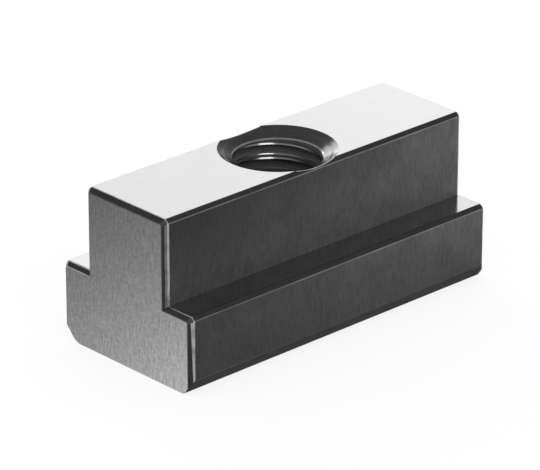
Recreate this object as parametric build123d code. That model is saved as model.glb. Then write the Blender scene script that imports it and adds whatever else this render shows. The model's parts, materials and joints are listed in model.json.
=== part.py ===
from build123d import *
import math
import os

# Extended T-slot nut, one piece of free-machining steel, sizes in millimetres.
# A T-shaped bar lies along X, its wide base down and its neck up. The tapped hole
# goes straight down through the middle, from the top of the neck to the underside.
# The origin is the middle of the underside, so Z = 0 is the face the nut rests on.

# The slot of the machine table and the play the nut has in it
slot_width = 17.46            # 11/16 inch between the slot's lips
slot_play = 0.26              # how much narrower the neck is than the slot

# The bar
length = 60.0                 # end to end, along the slot
base_width = 28.0             # across the base, which pulls up against the lips
base_height = 12.4            # from the underside to the shoulders
neck_height = 13.4            # from the shoulders to the top
end_chamfer = 0.7             # 45 degrees, round each end face but for the underside
long_chamfer = 0.6            # 45 degrees, along the top of the neck and of the base
front_chamfer_width = 1.6     # the chamfer under the base's front edge, across
front_chamfer_height = 2.3    # and how far it goes up the side
front_chamfer_round = 0.8     # softens both edges of that chamfer
back_chamfer_width = 2.7      # the same under the back edge, where more is taken off
back_chamfer_height = 3.1
back_chamfer_round = 2.0

# The tapped hole, 5/8-11 UNC
thread_diameter = 15.875      # over the thread's roots in the nut
threads_per_inch = 11
countersink_diameter = 18.0   # at the top, a little wider than the neck
underside_diameter = 17.0     # at the underside
countersink_angle = 120.0     # both mouths, across the cone

# What follows from them
MM_PER_INCH = 25.4
MINOR_DEPTH = 1.0825          # unified thread: major less minor diameter, in pitches
neck_width = slot_width - slot_play
height = base_height + neck_height
pitch = MM_PER_INCH / threads_per_inch
minor_diameter = thread_diameter - MINOR_DEPTH * pitch
overshoot = 1.0               # how far a cut runs past the surface it opens


def cone_depth(mouth_diameter):
    """How deep a mouth's cone goes before it meets the bore."""
    half_angle = math.radians(countersink_angle / 2)
    return (mouth_diameter - minor_diameter) / 2 / math.tan(half_angle)


def t_section(floor):
    """The T of the bar, its upper edges chamfered and its base reaching down to floor."""
    base = Pos(0, (floor + base_height) / 2) * Rectangle(base_width, base_height - floor)
    neck = Pos(0, (floor + height) / 2) * Rectangle(neck_width, height - floor)
    outline = base + neck
    upper_corners = [
        corner
        for corner in outline.vertices()
        if corner.Y > floor and not is_inner_corner(corner)
    ]
    return chamfer(upper_corners, long_chamfer)


def is_inner_corner(corner):
    """True where the neck's side runs down onto a shoulder."""
    on_shoulder = math.isclose(corner.Y, base_height, abs_tol=1e-6)
    on_neck = math.isclose(abs(corner.X), neck_width / 2, abs_tol=1e-6)
    return on_shoulder and on_neck


def rolled_section():
    """The T with the wide, softened chamfers of its underside."""
    front = -base_width / 2
    back = base_width / 2
    inner = front + front_chamfer_width
    outline = without_corner(t_section(0.0), front, inner, front_chamfer_height, front_chamfer_round)
    inner = back - back_chamfer_width
    return without_corner(outline, back, inner, back_chamfer_height, back_chamfer_round)


def without_corner(outline, side, inner, rise, softening):
    """The outline with the corner under one side taken off and the new edges softened."""
    corner = Polyline((side, 0), (inner, 0), (side, rise), close=True)
    outline -= make_face(corner)
    lower_end = outline.vertices().sort_by_distance((inner, 0))[0]
    upper_end = outline.vertices().sort_by_distance((side, rise))[0]
    return fillet([lower_end, upper_end], softening)


def bar(section):
    """A length of bar of the given section, lying along X."""
    return extrude(Plane.YZ * section, amount=length / 2, both=True)


def chamfered_ends():
    """A bar that reaches below the underside, chamfered right round both ends.

    What is common to it and the true bar has chamfered ends, but for the lower edges,
    which stay as the saw left them.
    """
    blank = bar(t_section(-2 * back_chamfer_height))
    ends = blank.faces().filter_by(Axis.X)
    return chamfer(ends[0].edges() + ends[1].edges(), end_chamfer)


def hole():
    """The tapping bore with a cone at each mouth, turned about Z."""
    spread = overshoot * math.tan(math.radians(countersink_angle / 2))
    upper = countersink_diameter / 2
    lower = underside_diameter / 2
    bore = minor_diameter / 2
    half_section = Polyline(
        (0, -overshoot),
        (lower + spread, -overshoot),
        (bore, cone_depth(underside_diameter)),
        (bore, height - cone_depth(countersink_diameter)),
        (upper + spread, height + overshoot),
        (0, height + overshoot),
        close=True,
    )
    return revolve(Plane.XZ * make_face(half_section), Axis.Z)


def t_slot_nut():
    """The whole nut: bar, chamfered ends, countersunk bore."""
    body = bar(rolled_section()) & chamfered_ends()
    return body - hole()


os.makedirs("parts", exist_ok=True)
nut = t_slot_nut()
nut.label = "t_slot_nut"
export_step(nut, "parts/t_slot_nut.step")
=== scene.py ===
import json
import math

import bmesh
import bpy
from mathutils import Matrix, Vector


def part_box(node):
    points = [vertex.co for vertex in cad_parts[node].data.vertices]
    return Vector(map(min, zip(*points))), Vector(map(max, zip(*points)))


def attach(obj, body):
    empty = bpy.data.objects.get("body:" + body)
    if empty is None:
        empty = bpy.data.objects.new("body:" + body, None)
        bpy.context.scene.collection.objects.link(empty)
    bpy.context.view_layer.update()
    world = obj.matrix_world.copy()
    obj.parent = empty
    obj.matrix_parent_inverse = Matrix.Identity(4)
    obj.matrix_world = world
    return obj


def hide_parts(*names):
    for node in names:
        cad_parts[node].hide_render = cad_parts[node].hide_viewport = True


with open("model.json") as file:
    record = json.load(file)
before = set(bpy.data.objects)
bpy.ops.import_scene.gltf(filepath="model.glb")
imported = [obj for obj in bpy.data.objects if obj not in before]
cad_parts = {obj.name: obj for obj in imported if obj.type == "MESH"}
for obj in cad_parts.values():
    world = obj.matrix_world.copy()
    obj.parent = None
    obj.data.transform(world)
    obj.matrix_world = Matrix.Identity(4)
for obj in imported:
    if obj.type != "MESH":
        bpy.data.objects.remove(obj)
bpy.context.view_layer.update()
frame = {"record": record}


# The bar: a T-shaped length of free-machining steel, wide base down and neck up.
# It is drawn with its long edges already chamfered, sawn to length and chamfered
# round both end faces, except along the underside.
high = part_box("t_slot_nut")[1]
mounts = {mount["name"]: mount for mount in frame["record"]["mounts"]}
half_length = high[0]
half_base = high[1]
half_neck = mounts["neck_back"]["pos_m"][1]
shoulder = mounts["shoulder_back"]["pos_m"][2]
top = high[2]
end_chamfer = 0.0007
long_chamfer = 0.0006
front_width = 0.0016           # the chamfer under the front edge, across and up
front_height = 0.0023
back_width = 0.0027            # the same under the back edge
back_height = 0.0031
front_round = 0.0008           # the radius of those chamfers' softened edges
back_round = 0.0026
highlight_strip_width = 0.00038         # the outer part of the end chamfers, painted lighter as a highlight
rubbed_round = 0.00010         # how far the edges are rounded by handling
shoulder_round = 0.00024       # and where the shoulders run out over the end faces
softening_cuts = 5
foot_reach = 0.95              # how far the highlight strips' feet run out, of their width
handled_from = shoulder / 3    # edges higher up than this are rubbed
barely_bent = math.radians(10)
nearly = 0.00001


def slice_off(mesh, point, outward):
    """Cuts away what lies beyond a plane and closes the cut."""
    everything = mesh.verts[:] + mesh.edges[:] + mesh.faces[:]
    cut = bmesh.ops.bisect_plane(
        mesh, geom=everything, plane_co=point, plane_no=outward, clear_outer=True
    )
    rim = [part for part in cut["geom_cut"] if isinstance(part, bmesh.types.BMEdge)]
    bmesh.ops.edgeloop_fill(mesh, edges=rim)


def chamfer_under(mesh, side, width, rise, radius):
    """Takes off the corner under one side and softens both new edges with narrow cuts."""
    upper_edge = Vector((0, side, rise))
    lower_edge = Vector((0, side - math.copysign(width, side), 0))
    sideways = Vector((0, math.copysign(1, side), 0))
    downwards = Vector((0, 0, -1))
    slanting = Vector((0, math.copysign(rise, side), -width)).normalized()
    slice_off(mesh, upper_edge, slanting)
    for edge, first, second in (
        (upper_edge, sideways, slanting),
        (lower_edge, slanting, downwards),
    ):
        centre = edge - radius * (first + second) / (1 + first.dot(second))
        for part in range(1, softening_cuts + 1):
            outward = first.slerp(second, part / (softening_cuts + 1))
            slice_off(mesh, centre + radius * outward, outward)


def t_outline(inset):
    """The bar's section with its long chamfers, moved inwards all round."""
    slip = long_chamfer + inset * (math.sqrt(2) - 1)
    right_side = [
        (half_base - inset, -back_height),
        (half_base - inset, shoulder - slip),
        (half_base - slip, shoulder - inset),
        (half_neck - inset, shoulder - inset),
        (half_neck - inset, top - slip),
        (half_neck - slip, top - inset),
    ]
    return right_side + [(-y, z) for y, z in reversed(right_side)]


bar = bmesh.new()
# Each end chamfer gets an outer strip of its own, which is coloured lighter as a painted
# highlight.
stations = [
    (-half_length, end_chamfer),
    (-half_length + end_chamfer - highlight_strip_width, highlight_strip_width),
    (-half_length + end_chamfer, 0),
    (half_length - end_chamfer, 0),
    (half_length - end_chamfer + highlight_strip_width, highlight_strip_width),
    (half_length, end_chamfer),
]
rings = [[bar.verts.new((x, y, z)) for y, z in t_outline(inset)] for x, inset in stations]
for near_ring, far_ring in zip(rings, rings[1:]):
    for first in range(len(near_ring)):
        second = first - 1
        bar.faces.new((near_ring[first], near_ring[second], far_ring[second], far_ring[first]))
bar.faces.new(rings[0])
bar.faces.new(rings[-1])
for corner in (rings[1][0], rings[1][-1], rings[-2][0], rings[-2][-1]):
    corner.co.x -= math.copysign(highlight_strip_width, corner.co.x) * foot_reach
    corner.co.y += math.copysign(highlight_strip_width, corner.co.y) * foot_reach
bmesh.ops.recalc_face_normals(bar, faces=bar.faces)
slice_off(bar, (0, 0, 0), (0, 0, -1))
chamfer_under(bar, half_base, back_width, back_height, back_round)
chamfer_under(bar, -half_base, front_width, front_height, front_round)
bmesh.ops.recalc_face_normals(bar, faces=bar.faces)

wear = bar.edges.layers.float.new("bevel_weight_edge")
for edge in bar.edges:
    start, end = (corner.co for corner in edge.verts)
    middle = (start + end) / 2
    on_end = abs(abs(middle.x) - half_length + end_chamfer) < nearly
    on_shoulder = abs(start.z - shoulder) + abs(end.z - shoulder) < nearly
    bent = edge.calc_face_angle() > barely_bent
    if on_end and on_shoulder:
        edge[wear] = 1.0
    elif edge.is_convex and bent and middle.z > handled_from:
        edge[wear] = rubbed_round / shoulder_round

bar_mesh = bpy.data.meshes.new("nut_bar")
bar.to_mesh(bar_mesh)
bar.free()
nut_bar = bpy.data.objects.new("nut_bar", bar_mesh)
bpy.context.scene.collection.objects.link(nut_bar)
rounding = nut_bar.modifiers.new("rubbed_edges", "BEVEL")
rounding.limit_method = "WEIGHT"
rounding.offset_type = "OFFSET"
rounding.width = shoulder_round
rounding.segments = 4
rounding.use_clamp_overlap = False


# The hole: drilled to the thread's minor diameter right through the middle, then
# countersunk at both ends. The upper mouth is wider than the neck, so it runs out
# through the long chamfers on both sides.
minor_radius = mounts["thread"]["dims"]["r_mm"] / 1000
mouth_radius = 0.0090
underside_radius = 0.0085
half_angle = math.radians(60)
run_past = 0.001
hole_steps = 192
bore_rim = 0.00020             # how wide the edge between cone and bore is broken
bore_rim_fall = 0.00006        # and how far down the bore
ring_depth = 0.00004           # of the slight rings in the cone
ring_foot = 0.00669            # the radius from which their heights are counted
cone_rings = (                 # each ring's radius, and how far it stands off the cone
    (0.00720, -ring_depth / 2),
    (0.00785, ring_depth),
    (0.00830, -ring_depth),
    (0.00890, ring_depth / 2),
)
rim_round = 0.00008            # how far the mouth's rim is rounded
runout_round = 0.00010         # and where it runs out through the long chamfers


def cone_rise(width):
    """How far the cone rises while it opens by this much to each side."""
    return width / math.tan(half_angle)


spread = run_past * math.tan(half_angle)
cone_foot = top - cone_rise(mouth_radius - minor_radius)
drill_profile = [
    (0, -run_past),
    (underside_radius + spread, -run_past),
    (minor_radius, cone_rise(underside_radius - minor_radius)),
    (minor_radius, cone_foot - bore_rim_fall),
    (minor_radius + bore_rim, cone_foot + cone_rise(bore_rim)),
]
for radius, off_cone in cone_rings:
    drill_profile.append((radius, cone_foot + cone_rise(radius - ring_foot) + off_cone))
drill_profile.append((mouth_radius + spread, top + run_past))
drill_profile.append((0, top + run_past))

drill = bmesh.new()
points = [drill.verts.new((radius, 0, height)) for radius, height in drill_profile]
sides = [drill.edges.new(pair) for pair in zip(points, points[1:])]
bmesh.ops.spin(
    drill, geom=points + sides, cent=(0, 0, 0), axis=(0, 0, 1), angle=math.tau, steps=hole_steps
)
bmesh.ops.remove_doubles(drill, verts=drill.verts, dist=nearly / 10)
bmesh.ops.recalc_face_normals(drill, faces=drill.faces)
drill_mesh = bpy.data.meshes.new("nut_drill")
drill.to_mesh(drill_mesh)
drill.free()
nut_drill = bpy.data.objects.new("nut_drill", drill_mesh)
bpy.context.scene.collection.objects.link(nut_drill)


# The thread: 5/8-11 UNC, right-handed. A tap's tooth of 60 degrees is led round a helix
# and cuts the groove, which stops just under the countersink. The tooth flares at its
# root to break the edge of each crest, and a second, shallow tooth cuts a seam in it.
pitch = 0.0254 / 11
thread_radius = 0.015875 / 2
turns = 12.64
crest_flat = pitch / 200
broken_edge = 0.00006          # how deep the upper edge of each crest is broken
flank_angle = math.radians(30)
break_angle = math.radians(69.2)
seam_depth = 0.00009           # of the fine seam in each crest
seam_lower = 0.000237          # from its bottom down to its lower lip
seam_upper = 0.00030           # and up to its upper lip
tooth_root = 0.00002           # how far inside the bore the tooth starts
first_turn = -2.249            # where the helix starts, in pitches from the underside

flare_radius = minor_radius + broken_edge
flank_run = (thread_radius - flare_radius) * math.tan(flank_angle)
flare_run = (broken_edge + tooth_root) * math.tan(break_angle)
full_run = (thread_radius - minor_radius + tooth_root) * math.tan(flank_angle)
seam_reach = 1 + tooth_root / seam_depth
seam_rise = full_run - pitch / 2 + seam_lower


def cutting_edge(name, corners):
    """A closed outline: how far out from the thread's axis, and how high."""
    curve = bpy.data.curves.new(name, "CURVE")
    curve.dimensions = "3D"
    outline = curve.splines.new("POLY")
    outline.points.add(len(corners) - 1)
    outline.use_cyclic_u = True
    for point, (radius, rise) in zip(outline.points, reversed(corners)):
        point.co = (radius - thread_radius, -rise, 0, 1)
    tool = bpy.data.objects.new(name, curve)
    bpy.context.scene.collection.objects.link(tool)
    return tool


tap_tooth = cutting_edge("tap_tooth", [
    (thread_radius, crest_flat / 2),
    (minor_radius - tooth_root, crest_flat / 2 + full_run),
    (minor_radius - tooth_root, -crest_flat / 2 - flank_run - flare_run),
    (flare_radius, -crest_flat / 2 - flank_run),
    (thread_radius, -crest_flat / 2),
])
seam_tooth = cutting_edge("seam_tooth", [
    (minor_radius + seam_depth, seam_rise),
    (minor_radius - tooth_root, seam_rise + seam_upper * seam_reach),
    (minor_radius - tooth_root, seam_rise - seam_lower * seam_reach),
])

tap = bpy.data.node_groups.new("tap_tooth_on_a_helix", "GeometryNodeTree")
sizes = {
    "Pitch": pitch,
    "Thread Radius": thread_radius,
    "Crest Radius": flare_radius,
    "Turns": turns,
    "First Turn": first_turn,
}
for name in sizes:
    tap.interface.new_socket(name, in_out="INPUT", socket_type="NodeSocketFloat")
tap.interface.new_socket("Tooth", in_out="INPUT", socket_type="NodeSocketObject")
tap.interface.new_socket("Cutter", in_out="OUTPUT", socket_type="NodeSocketGeometry")
given = tap.nodes.new("NodeGroupInput")
sized = given.outputs

tooth = tap.nodes.new("GeometryNodeObjectInfo")
tap.links.new(sized["Tooth"], tooth.inputs["Object"])

helix = tap.nodes.new("GeometryNodeCurveSpiral")
helix.inputs["Resolution"].default_value = hole_steps
helix.inputs["Reverse"].default_value = True
helix_height = tap.nodes.new("ShaderNodeMath")
helix_height.operation = "MULTIPLY"
tap.links.new(sized["Pitch"], helix_height.inputs[0])
tap.links.new(sized["Turns"], helix_height.inputs[1])
tap.links.new(sized["Turns"], helix.inputs["Rotations"])
tap.links.new(sized["Thread Radius"], helix.inputs["Start Radius"])
tap.links.new(sized["Thread Radius"], helix.inputs["End Radius"])
tap.links.new(helix_height.outputs[0], helix.inputs["Height"])
upright = tap.nodes.new("GeometryNodeSetCurveNormal")
upright.mode = "Z_UP"
tap.links.new(helix.outputs[0], upright.inputs["Curve"])

groove = tap.nodes.new("GeometryNodeCurveToMesh")
groove.inputs["Fill Caps"].default_value = True
tap.links.new(upright.outputs[0], groove.inputs["Curve"])
tap.links.new(tooth.outputs["Geometry"], groove.inputs["Profile Curve"])

start = tap.nodes.new("ShaderNodeMath")
start.operation = "MULTIPLY"
tap.links.new(sized["Pitch"], start.inputs[0])
tap.links.new(sized["First Turn"], start.inputs[1])
drop = tap.nodes.new("ShaderNodeCombineXYZ")
tap.links.new(start.outputs[0], drop.inputs["Z"])
placed = tap.nodes.new("GeometryNodeTransform")
tap.links.new(drop.outputs[0], placed.inputs["Translation"])
tap.links.new(groove.outputs[0], placed.inputs["Geometry"])
whole = tap.nodes.new("GeometryNodeRealizeInstances")
tap.links.new(placed.outputs[0], whole.inputs[0])

where = tap.nodes.new("GeometryNodeInputPosition")
parted = tap.nodes.new("ShaderNodeSeparateXYZ")
tap.links.new(where.outputs[0], parted.inputs[0])
levelled = tap.nodes.new("ShaderNodeCombineXYZ")
tap.links.new(parted.outputs["X"], levelled.inputs["X"])
tap.links.new(parted.outputs["Y"], levelled.inputs["Y"])
from_axis = tap.nodes.new("ShaderNodeVectorMath")
from_axis.operation = "LENGTH"
tap.links.new(levelled.outputs[0], from_axis.inputs[0])
on_crest = tap.nodes.new("FunctionNodeCompare")
on_crest.operation = "LESS_THAN"
tap.links.new(from_axis.outputs["Value"], on_crest.inputs["A"])
tap.links.new(sized["Crest Radius"], on_crest.inputs["B"])

thread_finish = tap.nodes.new("GeometryNodeSetMaterial")
tap.links.new(whole.outputs[0], thread_finish.inputs["Geometry"])
crest_finish = tap.nodes.new("GeometryNodeSetMaterial")
tap.links.new(thread_finish.outputs[0], crest_finish.inputs["Geometry"])
tap.links.new(on_crest.outputs[0], crest_finish.inputs["Selection"])
result = tap.nodes.new("NodeGroupOutput")
tap.links.new(crest_finish.outputs[0], result.inputs[0])


# The blacking: a black oxide over whatever each tool left, so every face keeps
# its own grain under it. It is darkest on drawn and turned faces, greyer where the
# saw left the ends rough and thin on the ground faces. Light and shade are painted
# into it as well: lighter edges and strips stand for highlights, and the tones of
# the sides, ends and shoulders slope with how the light fell.
def blacked(
    name, dark, light, grain, roughness, relief,
    metal=1.0, gloss=0.2, glance=1.0, mottle=160.0, light_drift=(0, 0, 0), light_twist=0.0
):
    """Oxide-black steel whose tone wanders from dark to light along its grain.

    The drift is how fast the colour grows lighter towards +X, +Y and +Z, as a share per
    metre, and the twist how much faster it grows lighter towards +X with each metre of
    height: a painted gradient of light and shade.
    """
    material = bpy.data.materials.new(name)
    material.use_nodes = True
    nodes = material.node_tree.nodes
    links = material.node_tree.links
    steel = nodes["Principled BSDF"]
    steel.inputs["Metallic"].default_value = metal
    steel.inputs["Specular IOR Level"].default_value = gloss
    steel.inputs["Specular Tint"].default_value = (glance, glance, glance, 1)

    place = nodes.new("ShaderNodeTexCoord")
    stretched = nodes.new("ShaderNodeMapping")
    stretched.inputs["Scale"].default_value = grain
    links.new(place.outputs["Object"], stretched.inputs["Vector"])
    streaks = nodes.new("ShaderNodeTexNoise")
    streaks.inputs["Scale"].default_value = 1.0
    streaks.inputs["Detail"].default_value = 6.0
    streaks.inputs["Roughness"].default_value = 0.6
    links.new(stretched.outputs[0], streaks.inputs["Vector"])

    clouds = nodes.new("ShaderNodeTexNoise")
    clouds.inputs["Scale"].default_value = mottle
    clouds.inputs["Detail"].default_value = 3.0
    links.new(place.outputs["Object"], clouds.inputs["Vector"])
    both = nodes.new("ShaderNodeMix")
    both.inputs["Factor"].default_value = 0.4
    links.new(streaks.outputs["Fac"], both.inputs["A"])
    links.new(clouds.outputs["Fac"], both.inputs["B"])

    tone = nodes.new("ShaderNodeValToRGB")
    tone.color_ramp.elements[0].position = 0.36
    tone.color_ramp.elements[0].color = (dark, dark, dark, 1)
    tone.color_ramp.elements[1].position = 0.64
    tone.color_ramp.elements[1].color = (light, light, light, 1)
    links.new(both.outputs["Result"], tone.inputs["Fac"])
    # Painted light and shade: the colour is scaled by exp(drift . position + twist * x * z).
    light_gradient = nodes.new("ShaderNodeVectorMath")
    light_gradient.operation = "DOT_PRODUCT"
    light_gradient.inputs[1].default_value = light_drift
    links.new(place.outputs["Object"], light_gradient.inputs[0])
    along = nodes.new("ShaderNodeSeparateXYZ")
    links.new(place.outputs["Object"], along.inputs[0])
    crosswise = nodes.new("ShaderNodeMath")
    crosswise.operation = "MULTIPLY"
    links.new(along.outputs["X"], crosswise.inputs[0])
    links.new(along.outputs["Z"], crosswise.inputs[1])
    twisted = nodes.new("ShaderNodeMath")
    twisted.operation = "MULTIPLY_ADD"
    twisted.inputs[1].default_value = light_twist
    links.new(crosswise.outputs[0], twisted.inputs[0])
    links.new(light_gradient.outputs["Value"], twisted.inputs[2])
    light_gradient_scale = nodes.new("ShaderNodeMath")
    light_gradient_scale.operation = "EXPONENT"
    links.new(twisted.outputs[0], light_gradient_scale.inputs[0])
    painted_tone = nodes.new("ShaderNodeVectorMath")
    painted_tone.operation = "SCALE"
    links.new(tone.outputs["Color"], painted_tone.inputs[0])
    links.new(light_gradient_scale.outputs[0], painted_tone.inputs["Scale"])
    links.new(painted_tone.outputs["Vector"], steel.inputs["Base Color"])

    sheen = nodes.new("ShaderNodeMapRange")
    sheen.inputs["From Min"].default_value = 0.3
    sheen.inputs["From Max"].default_value = 0.7
    sheen.inputs["To Min"].default_value = roughness * 0.85
    sheen.inputs["To Max"].default_value = roughness * 1.15
    links.new(streaks.outputs["Fac"], sheen.inputs["Value"])
    links.new(sheen.outputs["Result"], steel.inputs["Roughness"])

    bump = nodes.new("ShaderNodeBump")
    bump.inputs["Strength"].default_value = 1.0
    bump.inputs["Distance"].default_value = relief
    links.new(streaks.outputs["Fac"], bump.inputs["Height"])
    links.new(bump.outputs["Normal"], steel.inputs["Normal"])
    return material


# Painted light and reflection: the top grows slightly lighter towards +X, and the shoulders,
# ground like the top, have their own slightly lighter tone that grows darker towards +X, fitted
# to the neck that they mirror.
ground = blacked(
    "ground_face", 0.393, 0.412, (120, 4000, 4000), 0.13, 0.0000003, light_drift=(2, 0, 0)
)
ground_shoulder = blacked(
    "ground_shoulder", 0.40, 0.42, (120, 4000, 4000), 0.13, 0.0000003, light_drift=(-2.5, 0, 0)
)
# Painted light and shade: the neck and base sides are the same drawn steel, but each has its own
# tone, and that tone slopes along the bar and up it with how the light fell.
neck_side = blacked(
    "drawn_neck_side", 0.061, 0.112, (2600, 2600, 700), 0.35, 0.000001,
    metal=0.1, light_drift=(-14, 0, -40), light_twist=1800.0
)
base_side = blacked(
    "drawn_base_side", 0.0200, 0.0385, (2600, 2600, 700), 0.35, 0.000001,
    metal=0.1, light_drift=(6.7, 0, 36.9), light_twist=1047.0
)
# Painted light: the end face grows lighter towards its front and its foot, where more light
# falls on it.
sawn_end = blacked(
    "sawn_end", 0.265, 0.485, (3400, 3400, 450), 0.45, 0.000003,
    mottle=1900.0, light_drift=(0, -22, -34)
)
milled_chamfer = blacked(
    "milled_chamfer", 0.026, 0.036, (400, 3000, 3000), 0.25, 0.000001, glance=0.4
)
# Painted light: the chamfers under the bar are milled like the others, but made lighter to stand
# in for light that their dark, shadowed surroundings don't give them.
lower_chamfer = blacked(
    "lower_chamfer", 0.060, 0.082, (400, 3000, 3000), 0.3, 0.000001, glance=0.4
)
# Painted highlights and shade: the two lighter edge colours make the light strips on the end
# chamfers, the mouth's rim and the lit shoulder run-outs, and the darker one is painted shade on
# the other run-outs.
rubbed_edge = blacked("rubbed_edge", 0.18, 0.42, (700, 700, 700), 0.25, 0.000001)
rubbed_neck = blacked("rubbed_neck", 0.07, 0.18, (700, 700, 700), 0.25, 0.000001)
dulled_edge = blacked("dulled_edge", 0.04, 0.07, (700, 700, 700), 0.3, 0.000001)
# Painted highlight: the rounded long edges get a lighter colour for the light line along them,
# and it grows lighter towards +X.
long_edge = blacked("long_edge", 0.10, 0.18, (120, 700, 700), 0.3, 0.000001, light_drift=(8, 0, 0))
countersunk = blacked(
    "countersunk_cone", 0.033, 0.045, (900, 900, 3500), 0.18, 0.0000006, glance=0.75
)
tapped = blacked(
    "tapped_thread", 0.078, 0.090, (1500, 1500, 1500), 0.3, 0.000002, metal=0.0, gloss=0.0
)
# Painted highlight: the crests' broken edges and seams, and the rim between cone and bore, get a
# lighter, shinier colour, so that the thread lamp draws bright lines on them.
painted_crest_highlight = blacked("rubbed_thread_crest", 0.14, 0.19, (700, 700, 700), 0.2, 0.000001)

thread_finish.inputs["Material"].default_value = tapped
crest_finish.inputs["Material"].default_value = painted_crest_highlight
seam_start = first_turn + 0.5  # the seam runs midway between two turns of the groove
cutters = [nut_drill]
for cutting_tooth, start_turn in ((tap_tooth, first_turn), (seam_tooth, seam_start)):
    cutter = bpy.data.objects.new("nut_" + cutting_tooth.name, bpy.data.meshes.new("cutter"))
    bpy.context.scene.collection.objects.link(cutter)
    tapping = cutter.modifiers.new("tap", "NODES")
    tapping.node_group = tap
    settings = dict(sizes)
    settings["First Turn"] = start_turn
    settings["Tooth"] = cutting_tooth
    for socket in tap.interface.items_tree:
        if socket.name in settings:
            tapping[socket.identifier] = settings[socket.name]
    cutters.append(cutter)

# How steep a face stands, as the upright part of its outward direction
wall_slope = 0.1               # less than this is the wall of the bore
cone_slope = 0.8               # more than this is the cone
# The broken rim between cone and bore gets the crests' light colour, a painted highlight.
drill_mesh.materials.append(countersunk)
drill_mesh.materials.append(painted_crest_highlight)
for face in drill_mesh.polygons:
    at_rim = abs(face.center.z - cone_foot) < bore_rim
    if at_rim and wall_slope < abs(face.normal.z) < cone_slope:
        face.material_index = 1
bar_mesh.materials.append(base_side)

for cutter in cutters:
    cutting = nut_bar.modifiers.new(cutter.name, "BOOLEAN")
    cutting.operation = "DIFFERENCE"
    cutting.solver = "EXACT"
    cutting.object = cutter
    cutting.material_mode = "TRANSFER"

evaluated = nut_bar.evaluated_get(bpy.context.evaluated_depsgraph_get())
nut_mesh = bpy.data.meshes.new_from_object(evaluated)
nut_mesh.name = "nut"
for tool in [nut_bar, tap_tooth, seam_tooth] + cutters:
    bpy.data.objects.remove(tool)

finishes = [
    ground, ground_shoulder, neck_side, base_side, sawn_end, milled_chamfer, lower_chamfer,
    rubbed_edge, rubbed_neck, dulled_edge, long_edge,
    countersunk, tapped, painted_crest_highlight,
]
slots = list(nut_mesh.materials)
for material in finishes:
    if material not in slots:
        nut_mesh.materials.append(material)
        slots.append(material)

flat = 0.9999                  # a face that squares with an axis has this much of it
square = math.cos(math.radians(45))
slack = 0.01                   # how nearly a slope has to match
lengthwise = 0.02              # a face along the bar leans less than this to its ends
nearly_upward = 0.9            # and one that all but lies flat looks up more than this


def finish_in_hole(face, finish):
    """Corrects what a cutter brought with it: bore and undersides of crests are tapped."""
    if finish is countersunk and abs(face.normal.z) < wall_slope:
        return tapped
    if finish is painted_crest_highlight and face.normal.z < 0:
        return tapped
    above_bore = face.calc_center_median().z > cone_foot
    if finish is tapped and face.normal.z > 0 and above_bore:
        return countersunk
    return finish


def finish_on_bar(face):
    """The finish of an outer face, from the way it looks and where it lies."""
    across, aside, upward = (abs(part) for part in face.normal)
    middle = face.calc_center_median()
    on_neck = middle.z > shoulder
    at_top = middle.z > (shoulder + top) / 2
    if upward > flat:
        return ground if at_top else ground_shoulder
    if across > flat:
        return sawn_end
    if aside > flat:
        return neck_side if on_neck else base_side
    # The end chamfers' outer strips take the lighter colour, a painted highlight.
    if sum(abs(part - square) < slack for part in (across, aside, upward)) == 2:
        in_highlight_strip = abs(middle.x) < half_length - end_chamfer + highlight_strip_width
        strip_highlight = rubbed_neck if on_neck else rubbed_edge
        return strip_highlight if upward < slack and in_highlight_strip else milled_chamfer
    if across < lengthwise and face.normal.z < 0:
        return lower_chamfer
    if across < lengthwise and upward > nearly_upward and (at_top or middle.y > 0):
        return ground
    if across < lengthwise:
        return milled_chamfer if upward > aside else long_edge
    # Faces that look mostly to the ends, such as the shoulders' rounded run-outs: those at the
    # back shoulder take the lighter colour, a painted highlight, and the others the darker one,
    # painted shade.
    if across > max(aside, upward) + slack:
        bright = middle.y > half_neck and middle.z > shoulder - 2 * end_chamfer
        return rubbed_edge if bright else dulled_edge
    return rubbed_edge


nut = bmesh.new()
nut.from_mesh(nut_mesh)
bmesh.ops.remove_doubles(nut, verts=nut.verts, dist=nearly / 20)
for face in nut.faces:
    finish = slots[face.material_index]
    finish = finish_on_bar(face) if finish is base_side else finish_in_hole(face, finish)
    face.material_index = slots.index(finish)

# The mouth's rim and its run-outs are rounded and given the light edge colour, a painted
# highlight.
rims = (
    ((ground,), rim_round, True),
    ((milled_chamfer, long_edge), runout_round, False),
)
for outside, rounded, kept_apart in rims:
    outside_slots = [slots.index(finish) for finish in outside]
    rim = [
        edge
        for edge in nut.edges
        if slots.index(countersunk) in (face.material_index for face in edge.link_faces)
        and any(face.material_index in outside_slots for face in edge.link_faces)
    ]
    bmesh.ops.bevel(
        nut, geom=rim, offset=rounded, offset_type="OFFSET", segments=2, affect="EDGES",
        profile=0.5, clamp_overlap=kept_apart, material=slots.index(rubbed_edge)
    )

sharp_in_hole = math.radians(12)
sharp_outside = math.radians(40)
hole_slots = [slots.index(finish) for finish in (countersunk, tapped, painted_crest_highlight)]
for edge in nut.edges:
    kinds = {face.material_index for face in edge.link_faces}
    in_hole = kinds.intersection(hole_slots)
    bend = edge.calc_face_angle(0)
    if in_hole:
        edge.smooth = bend < sharp_in_hole and len(kinds) == 1
    else:
        edge.smooth = bend < sharp_outside
for face in nut.faces:
    face.smooth = True
nut.to_mesh(nut_mesh)
nut.free()

t_slot_nut = bpy.data.objects.new("threaded_nut", nut_mesh)
bpy.context.scene.collection.objects.link(t_slot_nut)
shading = t_slot_nut.modifiers.new("flat_faces_stay_flat", "WEIGHTED_NORMAL")
shading.keep_sharp = True
shading.weight = 100
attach(t_slot_nut, "root")
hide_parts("t_slot_nut")


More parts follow.
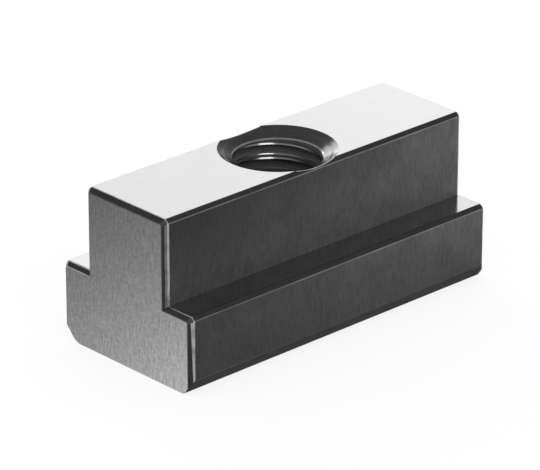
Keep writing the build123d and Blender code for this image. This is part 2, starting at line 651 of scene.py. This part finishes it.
# The floor: a wide sheet of matt white card, laid flat under the nut. It takes the
# nut's soft shadow, and where it is looked at or mirrored it shows nearly plain white.
floor_reach = 3.0
floor_mesh = bpy.data.meshes.new("white_card")
floor_mesh.from_pydata(
    [(x * floor_reach, y * floor_reach, 0) for x, y in ((-1, -1), (1, -1), (1, 1), (-1, 1))],
    [],
    [(0, 1, 2, 3)],
)
card = bpy.data.objects.new("white_card", floor_mesh)
bpy.context.scene.collection.objects.link(card)
card_paint = bpy.data.materials.new("white_card")
card_paint.use_nodes = True
card_nodes = card_paint.node_tree.nodes
card_links = card_paint.node_tree.links
card_nodes.remove(card_nodes["Principled BSDF"])
matt = card_nodes.new("ShaderNodeBsdfDiffuse")
matt.inputs["Color"].default_value = (0.9, 0.9, 0.9, 1)
plain_white = card_nodes.new("ShaderNodeEmission")
plain_white.inputs["Color"].default_value = (1, 1, 1, 1)
plain_white.inputs["Strength"].default_value = 1.0
ray = card_nodes.new("ShaderNodeLightPath")
seen = card_nodes.new("ShaderNodeMath")
seen.operation = "MAXIMUM"
card_links.new(ray.outputs["Is Camera Ray"], seen.inputs[0])
card_links.new(ray.outputs["Is Glossy Ray"], seen.inputs[1])
seen_through = card_nodes.new("ShaderNodeMath")
seen_through.operation = "MAXIMUM"
card_links.new(seen.outputs[0], seen_through.inputs[0])
card_links.new(ray.outputs["Is Transmission Ray"], seen_through.inputs[1])
share = card_nodes.new("ShaderNodeMath")
share.operation = "MULTIPLY"
share.inputs[1].default_value = 0.85
card_links.new(seen_through.outputs[0], share.inputs[0])
card_mix = card_nodes.new("ShaderNodeMixShader")
card_links.new(share.outputs[0], card_mix.inputs[0])
card_links.new(matt.outputs[0], card_mix.inputs[1])
card_links.new(plain_white.outputs[0], card_mix.inputs[2])
card_links.new(card_mix.outputs[0], card_nodes["Material Output"].inputs["Surface"])
floor_mesh.materials.append(card_paint)


# The studio: an even white tent with three lamps in it. The upward faces mirror a wide
# soft box low behind the nut, a low strip in front of it lights the thread, and a
# smaller box behind it lights the cone.
world = bpy.data.worlds.new("white_tent")
bpy.context.scene.world = world
world.use_nodes = True
tent = world.node_tree.nodes["Background"]
tent.inputs["Color"].default_value = (1, 1, 1, 1)
tent.inputs["Strength"].default_value = 1.0


def soft_box(name, heading, height_angle, distance, width, tall, radiance):
    """An area lamp that faces the nut; heading is counted from +X towards +Y."""
    data = bpy.data.lights.new(name, "AREA")
    data.shape = "RECTANGLE"
    data.size = width
    data.size_y = tall
    data.energy = math.pi * width * tall * radiance
    lamp = bpy.data.objects.new(name, data)
    level = math.cos(height_angle)
    away = Vector((level * math.cos(heading), level * math.sin(heading), math.sin(height_angle)))
    lamp.location = away * distance
    lamp.rotation_euler = away.to_track_quat("Z", "Y").to_euler()
    bpy.context.scene.collection.objects.link(lamp)


soft_box(
    "back_soft_box", heading=math.radians(47), height_angle=math.radians(24),
    distance=1.2, width=0.7, tall=0.5, radiance=0.82
)
soft_box(
    "thread_lamp", heading=math.radians(-101), height_angle=math.radians(19.8),
    distance=0.8, width=0.5, tall=0.06, radiance=11.0
)
soft_box(
    "cone_lamp", heading=math.radians(71), height_angle=math.radians(16),
    distance=0.8, width=0.28, tall=0.38, radiance=6.5
)


# The camera: a long lens, well back from the nut and to the left of its front. It
# looks down over the nut's near end.
camera_data = bpy.data.cameras.new("camera")
camera_data.sensor_width = 36
camera_data.lens = 279.06
camera = bpy.data.objects.new("camera", camera_data)
bpy.context.scene.collection.objects.link(camera)
aim = Vector((-0.00111, 0.00048, 0.01198))
azimuth = math.radians(-43.038)
elevation = math.radians(24.051)
camera_distance = 0.620995
back = Vector((
    math.sin(azimuth) * math.cos(elevation),
    -math.cos(azimuth) * math.cos(elevation),
    math.sin(elevation),
))
camera.location = aim + back * camera_distance
camera.rotation_euler = back.to_track_quat("Z", "Y").to_euler()
bpy.context.scene.camera = camera
bpy.context.scene.view_settings.view_transform = "Standard"
